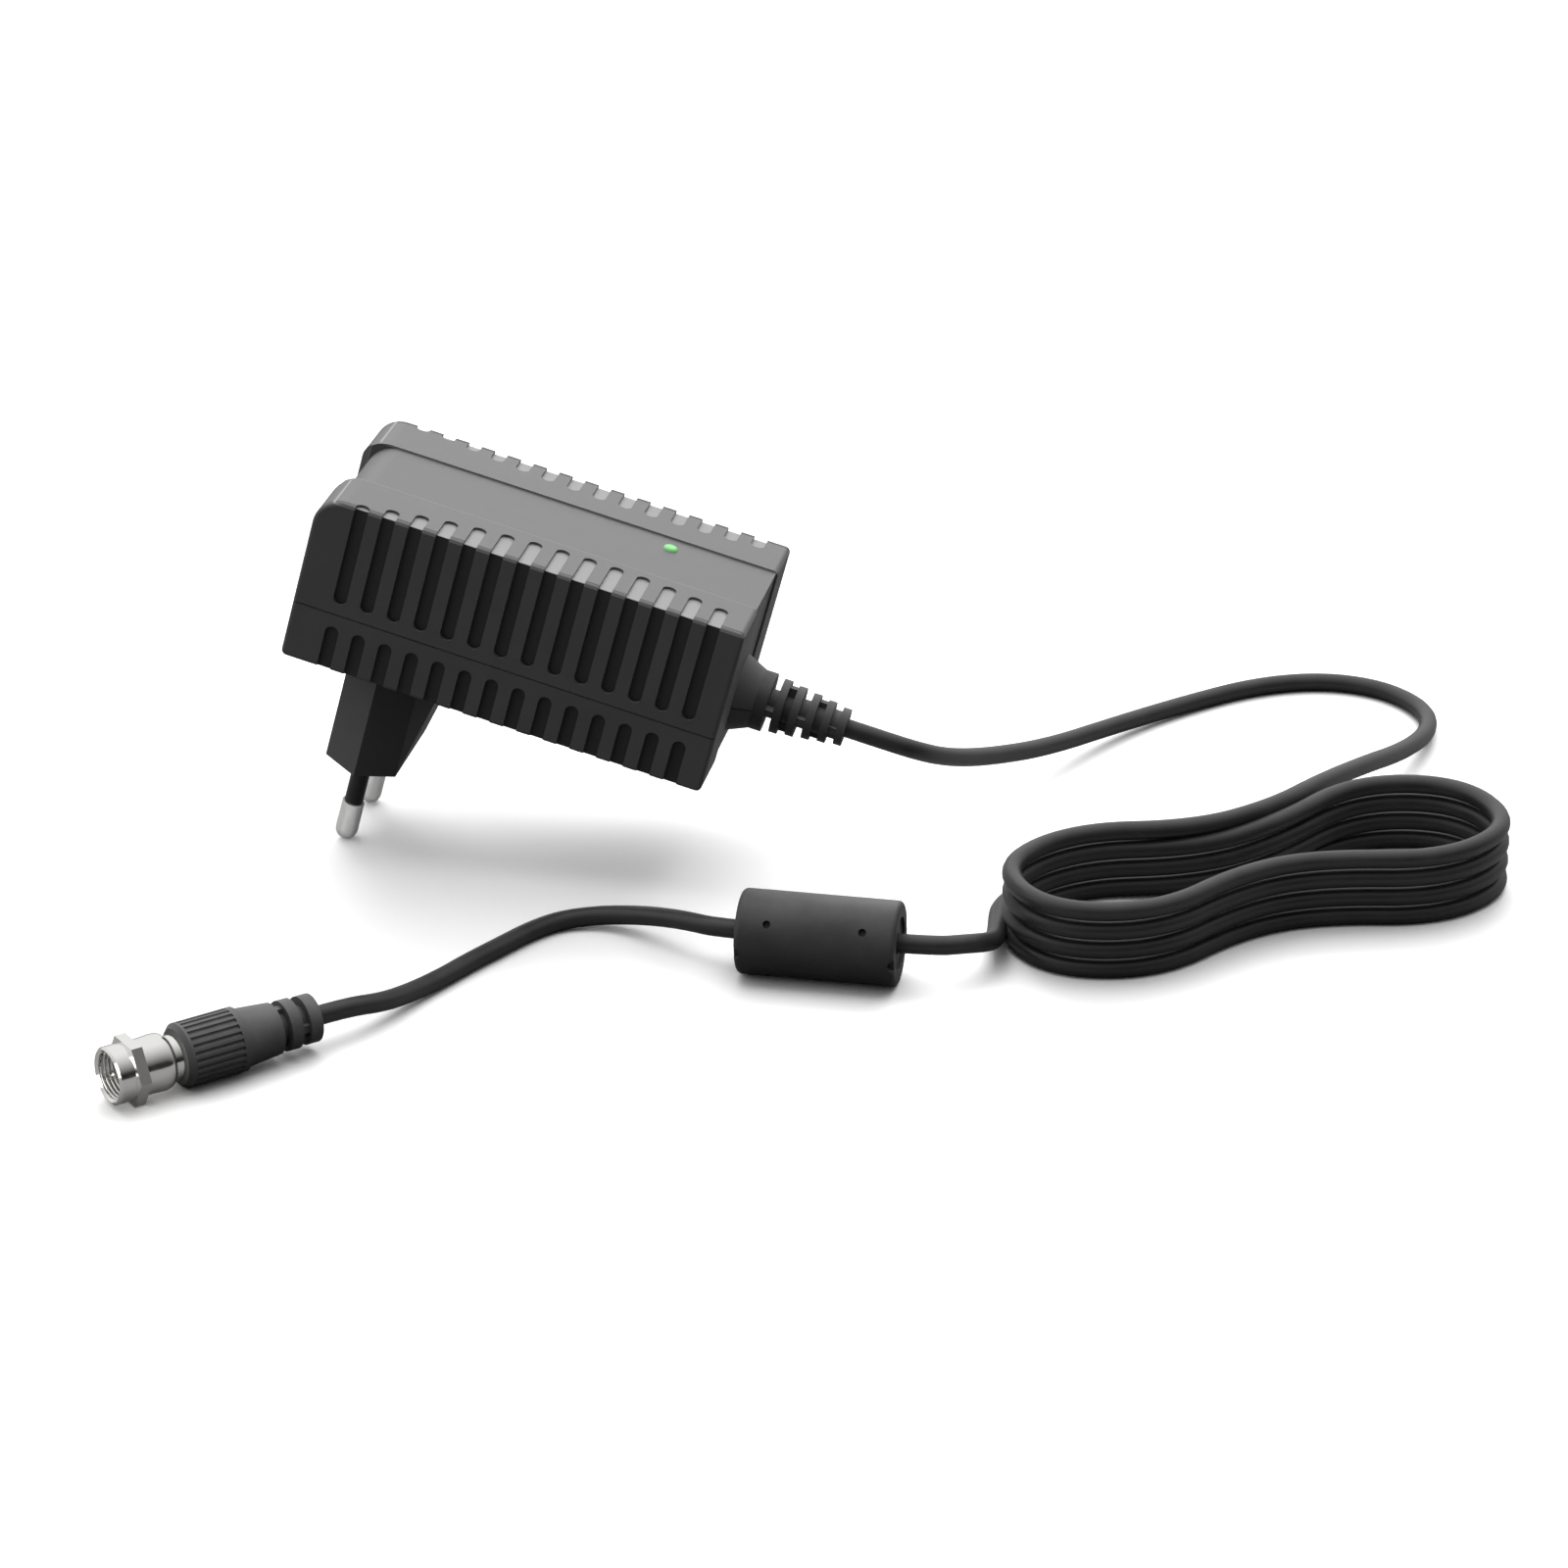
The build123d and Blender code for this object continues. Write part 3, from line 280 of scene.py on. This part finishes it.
boardFinishes = {
    "boardLaminate": {"dark": (0.36, 0.26, 0.10), "light": (0.47, 0.36, 0.16), "scale": 160, "rough": 0.5},
    "sinteredFerrite": {"dark": (0.035, 0.035, 0.038), "light": (0.06, 0.06, 0.064), "scale": 900,
                        "rough": 0.6},
    "windingTape": {"dark": (0.78, 0.55, 0.07), "light": (0.86, 0.64, 0.10), "scale": 200, "rough": 0.35},
    "shrinkSleeve": {"dark": (0.02, 0.02, 0.045), "light": (0.03, 0.03, 0.06), "scale": 200, "rough": 0.25},
    "drumVarnish": {"dark": (0.05, 0.05, 0.052), "light": (0.08, 0.08, 0.08), "scale": 500, "rough": 0.45},
    "dippedCeramic": {"dark": (0.08, 0.24, 0.52), "light": (0.11, 0.30, 0.62), "scale": 300, "rough": 0.3},
    "fuseCeramic": {"dark": (0.76, 0.73, 0.65), "light": (0.84, 0.82, 0.75), "scale": 300, "rough": 0.3},
    "wireJacket": {"dark": (0.50, 0.03, 0.025), "light": (0.60, 0.05, 0.04), "scale": 300, "rough": 0.4},
    "whiteInsulator": {"dark": (0.80, 0.80, 0.77), "light": (0.88, 0.88, 0.85), "scale": 400, "rough": 0.45},
    "sleeveBlack": {"dark": (0.012, 0.012, 0.013), "light": (0.018, 0.018, 0.019), "scale": 400,
                    "rough": 0.38},
}


def makeBoardFinish(name):
    look = boardFinishes[name]
    material, shader = startMaterial(name, look["light"], look["rough"])
    varyColor(material, shader, look["scale"], look["dark"], look["light"])
    addGrain(material, shader, look["scale"] * grainFactor["board"], boardGrain)
    return material


lens = {
    "color": (0.22, 0.54, 0.22),
    "roughness": 0.65,
    "glow": 0.30,
    "specular": 0.15,
    "scatter": 0.3,
    "scatterDepth": 1.0,
    "grainScale": 1500,
    "grainDepth": 0.05,
}


def makeLens():
    material, shader = startMaterial("greenLens", lens["color"], lens["roughness"], specular=lens["specular"])
    shader.inputs["Emission Color"].default_value = (*lens["color"], 1)
    shader.inputs["Emission Strength"].default_value = lens["glow"]
    shader.inputs["Subsurface Weight"].default_value = lens["scatter"]
    shader.inputs["Subsurface Radius"].default_value = (lens["scatterDepth"] * mm,) * 3
    addGrain(material, shader, lens["grainScale"], lens["grainDepth"])
    return material


say("materials")
caseSkin = makeCasePlastic()
reliefSkin = makeSoftPlastic("reliefPlastic")
bootSkin = makeSoftPlastic("bootPlastic")
beadSkin = makeSoftPlastic("beadPlastic")
jacketSkin = makeSoftPlastic("cordJacket")
nickelSkin = makeMetal("nickelPlate")

setMaterial(["upper_shell", "lower_shell", "plug_body"], caseSkin)
setMaterial(["strain_relief"], reliefSkin)
setMaterial(["ferrite_cover"], beadSkin)
setMaterial(["connector_boot"], bootSkin)
setMaterial(["connector_body", "coupling_nut"], nickelSkin)
setMaterial(["pin_front", "pin_rear"], makeMetal("pinMetal"))
setMaterial(["pin_sleeve_front", "pin_sleeve_rear"], makeBoardFinish("sleeveBlack"))
setMaterial(["contact_strip_front", "contact_strip_rear"], makeMetal("brassStrip"))
setMaterial(["led_legs"], makeMetal("tinnedLeg"))
setMaterial(["diode_heatsink"], makeMetal("bareAluminium"))
setMaterial(["contact_pin"], makeMetal("platedContact"))
setMaterial(["led"], makeLens())
setMaterial(["circuit_board"], makeBoardFinish("boardLaminate"))
setMaterial(["transformer_core", "ferrite_core"], makeBoardFinish("sinteredFerrite"))
setMaterial(["transformer_winding"], makeBoardFinish("windingTape"))
setMaterial(["input_capacitor", "output_capacitor"], makeBoardFinish("shrinkSleeve"))
setMaterial(["inductor"], makeBoardFinish("drumVarnish"))
setMaterial(["suppression_capacitor"], makeBoardFinish("dippedCeramic"))
setMaterial(["fuse"], makeBoardFinish("fuseCeramic"))
setMaterial(["lead_wires"], makeBoardFinish("wireJacket"))
setMaterial(["dielectric"], makeBoardFinish("whiteInsulator"))

# camera: stands where the photograph was taken from

camera = {
    "place": (224.6, -924.4, 442.95),
    "look": (-0.175101, 0.893983, -0.412473),
    "lens": 112.5,
    "sensor": 36.0,
    "nearest": 10.0,
    "farthest": 20000.0,
}


def makeCamera():
    data = bpy.data.cameras.new("camera")
    data.lens = camera["lens"]
    data.sensor_width = camera["sensor"]
    data.clip_start = camera["nearest"] * mm
    data.clip_end = camera["farthest"] * mm
    data.dof.use_dof = False
    obj = bpy.data.objects.new("camera", data)
    bpy.context.scene.collection.objects.link(obj)
    obj.location = mmPoint(*camera["place"])
    obj.rotation_mode = "QUATERNION"
    obj.rotation_quaternion = Vector(camera["look"]).to_track_quat("-Z", "Y")
    bpy.context.scene.camera = obj


say("camera")
makeCamera()

# cord: one line from the strain relief to the connector, points in millimetres

cord = {
    "diameter": 4.0,
    "hankPlace": (145.0, -9.5),
    "hankAngle": 33.15,
    "turns": 4,
    "pitch": 4.5,
    "drift": 0.6,
    "lobeEnd": (54.0, 11.0),
    "lobeSide": (33.0, 20.6),
    "waist": (9.0, 10.2),
    "beadY": -55.0,
    "beadHeight": 8.7,
    "exit": (56.833, 0.0, 30.487),
    "exitWay": (0.96547, 0.0, -0.26051),
    "boot": (-29.97, -104.67, 6.5),
    "bootWay": (0.70711, 0.70711, 0.0),
    "straight": 8.0,
    "sinkShare": 0.25,
    "roundness": 6,
    "stepsPerPoint": 10,
}


def hankPoint(u, v, z):
    turn = math.radians(cord["hankAngle"])
    x = cord["hankPlace"][0] + u * math.cos(turn) - v * math.sin(turn)
    y = cord["hankPlace"][1] + u * math.sin(turn) + v * math.cos(turn)
    return (x, y, z)


def alongWay(start, way, distance):
    return tuple(a + distance * b for a, b in zip(start, way))


def leadPoints(topLayer):
    return [
        cord["exit"],
        alongWay(cord["exit"], cord["exitWay"], cord["straight"]),
        (71.2, 3.6, 24.9),
        (76.0, 13.6, 19.4),
        (82.0, 29.6, 13.0),
        (92.2, 51.0, 6.8),
        (104.6, 75.0, 3.0),
        (118.2, 92.0, 2.0),
        (132.6, 105.4, 2.0),
        (147.7, 111.6, 2.0),
        (162.1, 108.9, 2.0),
        (172.0, 98.0, 2.2),
        (173.6, 83.5, 3.2),
        (169.0, 64.5, 6.5),
        (162.0, 43.8, 11.8),
        hankPoint(26.0, 23.0, 15.6),
        hankPoint(10.0, 14.0, topLayer + 0.9),
        hankPoint(-9.0, 11.4, topLayer + 0.5),
        hankPoint(-33.0, 20.8, topLayer),
    ]


def turnOutline():
    # back of the waist, left lobe, front of the waist, right lobe
    quarter = [cord["waist"], cord["lobeSide"], cord["lobeEnd"]]
    left = [(-u, v) for u, v in quarter] + [(-u, -v) for u, v in reversed(quarter)]
    right = [(u, -v) for u, v in quarter] + [(u, v) for u, v in reversed(quarter)]
    return left + right


def hankPoints(topLayer):
    # each turn sinks to the next layer behind the waist, and the pile leans back a little
    last = len(turnOutline()) - 1
    points = []
    for turn in range(cord["turns"]):
        layer = topLayer - turn * cord["pitch"]
        for number, (u, v) in enumerate(turnOutline()):
            if turn == 0 and number < 2:
                continue
            height = layer
            if number == 0:
                height = layer + cord["pitch"] * cord["sinkShare"]
            if number == last and turn < cord["turns"] - 1:
                height = layer - cord["pitch"] * cord["sinkShare"]
            x, y, z = hankPoint(u, v, height)
            points.append((x, y + turn * cord["drift"], z))
    points[-1] = hankPoint(9.0, 12.0, cord["diameter"] / 2)
    return points


def tailPoints():
    return [
        hankPoint(-9.0, 15.4, 2.0),
        hankPoint(-32.0, 25.8, 2.0),
        hankPoint(-48.5, 22.0, 2.0),
        (94.6, -34.6, 2.8),
        (95.4, -45.0, 6.0),
        (91.0, -51.4, 8.2),
        (84.4, cord["beadY"], cord["beadHeight"]),
        (41.0, cord["beadY"], cord["beadHeight"]),
        (33.6, -51.0, 7.8),
        (26.6, -46.6, 6.0),
        (20.0, -42.9, 4.0),
        (12.6, -41.6, 2.6),
        (5.4, -44.0, 2.0),
        (0.4, -50.2, 2.0),
        (-3.8, -58.2, 2.0),
        (-8.2, -66.4, 2.0),
        (-12.0, -74.6, 2.0),
        (-15.8, -82.8, 2.6),
        (-19.2, -91.6, 4.4),
        alongWay(cord["boot"], cord["bootWay"], cord["straight"]),
        cord["boot"],
    ]


def layCord():
    topLayer = cord["diameter"] / 2 + (cord["turns"] - 1) * cord["pitch"]
    points = leadPoints(topLayer) + hankPoints(topLayer) + tailPoints()
    curve = bpy.data.curves.new("supply_cord", "CURVE")
    curve.dimensions = "3D"
    curve.bevel_depth = cord["diameter"] / 2 * mm
    curve.bevel_resolution = cord["roundness"]
    curve.resolution_u = cord["stepsPerPoint"]
    curve.use_fill_caps = True
    spline = curve.splines.new("NURBS")
    spline.points.add(len(points) - 1)
    for place, point in zip(spline.points, points):
        place.co = (*mmPoint(*point), 1)
    spline.order_u = 3
    spline.use_endpoint_u = True
    curve.materials.append(jacketSkin)
    obj = bpy.data.objects.new("supply_cord", curve)
    bpy.context.scene.collection.objects.link(obj)
    return obj


def centreLength(obj):
    # length of the cord's own line, without its jacket
    bare = obj.data.copy()
    bare.bevel_depth = 0
    probe = bpy.data.objects.new("probe", bare)
    bpy.context.scene.collection.objects.link(probe)
    evaluated = probe.evaluated_get(bpy.context.evaluated_depsgraph_get())
    mesh = bpy.data.meshes.new_from_object(evaluated)
    ends = (edge.vertices for edge in mesh.edges)
    length = sum((mesh.vertices[a].co - mesh.vertices[b].co).length for a, b in ends)
    bpy.data.objects.remove(probe)
    bpy.data.curves.remove(bare)
    bpy.data.meshes.remove(mesh)
    return length


say("cord")
supplyCord = layCord()
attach(supplyCord, "supply")
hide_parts("cord_lead", "cord_hank", "cord_tail")
cordLength = centreLength(supplyCord)
print("cord length", round(cordLength, 4))

# thread inside the nut: a helix of three-sided section, wound about the connector's axis

thread = {
    "nose": (-61.4, -136.1, 6.5),
    "axis": (0.70711, 0.70711, 0.0),
    "start": 0.9,
    "pitch": 0.79,
    "turns": 10,
    "pointsPerTurn": 48,
    "middleRadius": 4.62,
    "ridgeRadius": 0.32,
}


def makeThreadTree():
    tree = bpy.data.node_groups.new("thread", "GeometryNodeTree")
    tree.interface.new_socket("Geometry", in_out="OUTPUT", socket_type="NodeSocketGeometry")
    for name, kind in (
        ("Turns", "NodeSocketFloat"),
        ("Points per turn", "NodeSocketInt"),
        ("Radius", "NodeSocketFloat"),
        ("Length", "NodeSocketFloat"),
        ("Ridge", "NodeSocketFloat"),
        ("Material", "NodeSocketMaterial"),
    ):
        tree.interface.new_socket(name, in_out="INPUT", socket_type=kind)
    given = tree.nodes.new("NodeGroupInput")
    spiral = tree.nodes.new("GeometryNodeCurveSpiral")
    section = tree.nodes.new("GeometryNodeCurvePrimitiveCircle")
    section.inputs["Resolution"].default_value = 3
    mesh = tree.nodes.new("GeometryNodeCurveToMesh")
    mesh.inputs["Fill Caps"].default_value = True
    realize = tree.nodes.new("GeometryNodeRealizeInstances")
    paint = tree.nodes.new("GeometryNodeSetMaterial")
    output = tree.nodes.new("NodeGroupOutput")
    link = tree.links.new
    link(given.outputs["Points per turn"], spiral.inputs["Resolution"])
    link(given.outputs["Turns"], spiral.inputs["Rotations"])
    link(given.outputs["Radius"], spiral.inputs["Start Radius"])
    link(given.outputs["Radius"], spiral.inputs["End Radius"])
    link(given.outputs["Length"], spiral.inputs["Height"])
    link(given.outputs["Ridge"], section.inputs["Radius"])
    link(spiral.outputs["Curve"], mesh.inputs["Curve"])
    link(section.outputs["Curve"], mesh.inputs["Profile Curve"])
    link(mesh.outputs["Mesh"], realize.inputs["Geometry"])
    link(realize.outputs["Geometry"], paint.inputs["Geometry"])
    link(given.outputs["Material"], paint.inputs["Material"])
    link(paint.outputs["Geometry"], output.inputs["Geometry"])
    return tree


def giveInputs(modifier, values):
    sockets = modifier.node_group.interface.items_tree
    for socket in sockets:
        if socket.in_out == "INPUT" and socket.name in values:
            modifier[socket.identifier] = values[socket.name]


def growPiece(name, tree, values, place):
    # run the node tree once, keep its mesh and put the place into the mesh
    seed = bpy.data.objects.new(name + "_seed", bpy.data.meshes.new(name + "_seed"))
    bpy.context.scene.collection.objects.link(seed)
    modifier = seed.modifiers.new(name, "NODES")
    modifier.node_group = tree
    giveInputs(modifier, values)
    evaluated = seed.evaluated_get(bpy.context.evaluated_depsgraph_get())
    mesh = bpy.data.meshes.new_from_object(evaluated)
    seed.modifiers.remove(modifier)
    bpy.data.objects.remove(seed)
    mesh.transform(place)
    piece = bpy.data.objects.new(name, mesh)
    bpy.context.scene.collection.objects.link(piece)
    return piece


def cutThread():
    axis = Vector(thread["axis"])
    start = mmPoint(*thread["nose"]) + axis * thread["start"] * mm
    place = Matrix.Translation(start) @ axis.to_track_quat("Z", "Y").to_matrix().to_4x4()
    values = {
        "Turns": float(thread["turns"]),
        "Points per turn": thread["pointsPerTurn"],
        "Radius": thread["middleRadius"] * mm,
        "Length": thread["turns"] * thread["pitch"] * mm,
        "Ridge": thread["ridgeRadius"] * mm,
        "Material": nickelSkin,
    }
    piece = growPiece("nut_thread", makeThreadTree(), values, place)
    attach(piece, "nut")


say("thread")
cutThread()

# stage: a pale floor that fades into white, and soft studio light

stageLook = {
    "size": 6.0,
    "seenColor": (1.12, 1.12, 1.12),
    "mirroredColor": (0.28, 0.28, 0.28),
    "bounceColor": (0.03, 0.03, 0.03),
}


def makeFloor():
    half = stageLook["size"] / 2
    mesh = bpy.data.meshes.new("floor")
    corners = [(-half, -half, 0), (half, -half, 0), (half, half, 0), (-half, half, 0)]
    mesh.from_pydata(corners, [], [(0, 1, 2, 3)])
    floor = bpy.data.objects.new("floor", mesh)
    bpy.context.scene.collection.objects.link(floor)
    material = bpy.data.materials.new("paleFloor")
    material.use_nodes = True
    tree = material.node_tree
    tree.nodes.clear()
    output = tree.nodes.new("ShaderNodeOutputMaterial")
    path = tree.nodes.new("ShaderNodeLightPath")
    # little light comes back up from the floor, it is darker in reflections than it looks to the
    # camera, and the camera's own color is above white so that the floor fades out
    bounced = addNode(tree, "ShaderNodeRGB")
    bounced.outputs[0].default_value = (*stageLook["bounceColor"], 1)
    mirrored = mixColor(tree, path.outputs["Is Glossy Ray"], bounced.outputs[0], stageLook["mirroredColor"])
    seen = mixColor(tree, path.outputs["Is Camera Ray"], mirrored, stageLook["seenColor"])
    diffuse = tree.nodes.new("ShaderNodeBsdfDiffuse")
    tree.links.new(seen, diffuse.inputs["Color"])
    tree.links.new(diffuse.outputs[0], output.inputs["Surface"])
    mesh.materials.append(material)


sky = {"brightest": (-0.38, 0.52, 0.76), "limits": (-0.30, 0.85), "strengths": (0.02, 1.0)}


def makeGlow(tree):
    glow = tree.nodes.new("ShaderNodeBackground")
    glow.inputs["Color"].default_value = (1, 1, 1, 1)
    return glow


def makeWorld():
    # the camera sees white; the pieces see light that falls off towards the front and right
    world = bpy.data.worlds.new("studio")
    world.use_nodes = True
    tree = world.node_tree
    tree.nodes.clear()
    output = tree.nodes.new("ShaderNodeOutputWorld")
    seenGlow = makeGlow(tree)
    litGlow = makeGlow(tree)
    place = tree.nodes.new("ShaderNodeTexCoord")
    facing = tree.nodes.new("ShaderNodeVectorMath")
    facing.operation = "DOT_PRODUCT"
    tree.links.new(place.outputs["Generated"], facing.inputs[0])
    facing.inputs[1].default_value = sky["brightest"]
    spread = tree.nodes.new("ShaderNodeMapRange")
    spread.inputs["From Min"].default_value = sky["limits"][0]
    spread.inputs["From Max"].default_value = sky["limits"][1]
    spread.inputs["To Min"].default_value = sky["strengths"][0]
    spread.inputs["To Max"].default_value = sky["strengths"][1]
    tree.links.new(facing.outputs["Value"], spread.inputs["Value"])
    tree.links.new(spread.outputs["Result"], litGlow.inputs["Strength"])
    path = tree.nodes.new("ShaderNodeLightPath")
    mix = tree.nodes.new("ShaderNodeMixShader")
    tree.links.new(path.outputs["Is Camera Ray"], mix.inputs[0])
    tree.links.new(litGlow.outputs[0], mix.inputs[1])
    tree.links.new(seenGlow.outputs[0], mix.inputs[2])
    tree.links.new(mix.outputs[0], output.inputs["Surface"])
    bpy.context.scene.world = world


# the overhead and rear lamps give diffuse light only and have no reflections; each card shows only
# as a reflection on the nodes named with it, and nothing else throws a shadow from it, so that
# floorCard reaches them from below the floor
hardPlastic = ("upper_shell", "lower_shell", "plug_body", "ferrite_cover")
plated = ("coupling_nut", "connector_body", "contact_pin", "pin_front", "pin_rear")

lamps = {
    "overhead": {"place": (0.1, 0.3, 1.1), "size": 1.4, "power": 10, "mirroredIn": None},
    "rear": {"place": (-0.15, 1.1, 0.95), "size": 1.4, "power": 16, "mirroredIn": None},
    "backCard": {"place": (-0.1, 1.5, 0.85), "size": 1.3, "power": 11, "mirroredIn": hardPlastic},
    "frontCard": {"place": (-1.2, -0.9, 0.5), "size": 0.7, "power": 3, "mirroredIn": hardPlastic},
    "metalCard": {"place": (-0.3, -1.3, 0.9), "size": 1.5, "power": 24, "mirroredIn": plated},
    "floorCard": {"place": (0.1, -1.1, -0.5), "size": 1.6, "power": 16, "mirroredIn": plated},
}
lampAim = (0.05, 0.0, 0.02)


def makeLamps():
    for name, look in lamps.items():
        data = bpy.data.lights.new(name, "AREA")
        data.shape = "SQUARE"
        data.size = look["size"]
        data.energy = look["power"]
        lamp = bpy.data.objects.new(name, data)
        bpy.context.scene.collection.objects.link(lamp)
        lamp.location = look["place"]
        aim = Vector(lampAim) - Vector(look["place"])
        lamp.rotation_mode = "QUATERNION"
        lamp.rotation_quaternion = aim.to_track_quat("-Z", "Y")
        isCard = look["mirroredIn"] is not None
        lamp.visible_diffuse = not isCard
        lamp.visible_glossy = isCard
        if isCard:
            receivers = bpy.data.collections.new(name + "Receivers")
            for node in look["mirroredIn"]:
                receivers.objects.link(nodes[node])
            lamp.light_linking.receiver_collection = receivers
            lamp.light_linking.blocker_collection = receivers


say("stage and light")
makeFloor()
makeWorld()
makeLamps()
bpy.context.scene.view_settings.view_transform = "Standard"

say("sizes")
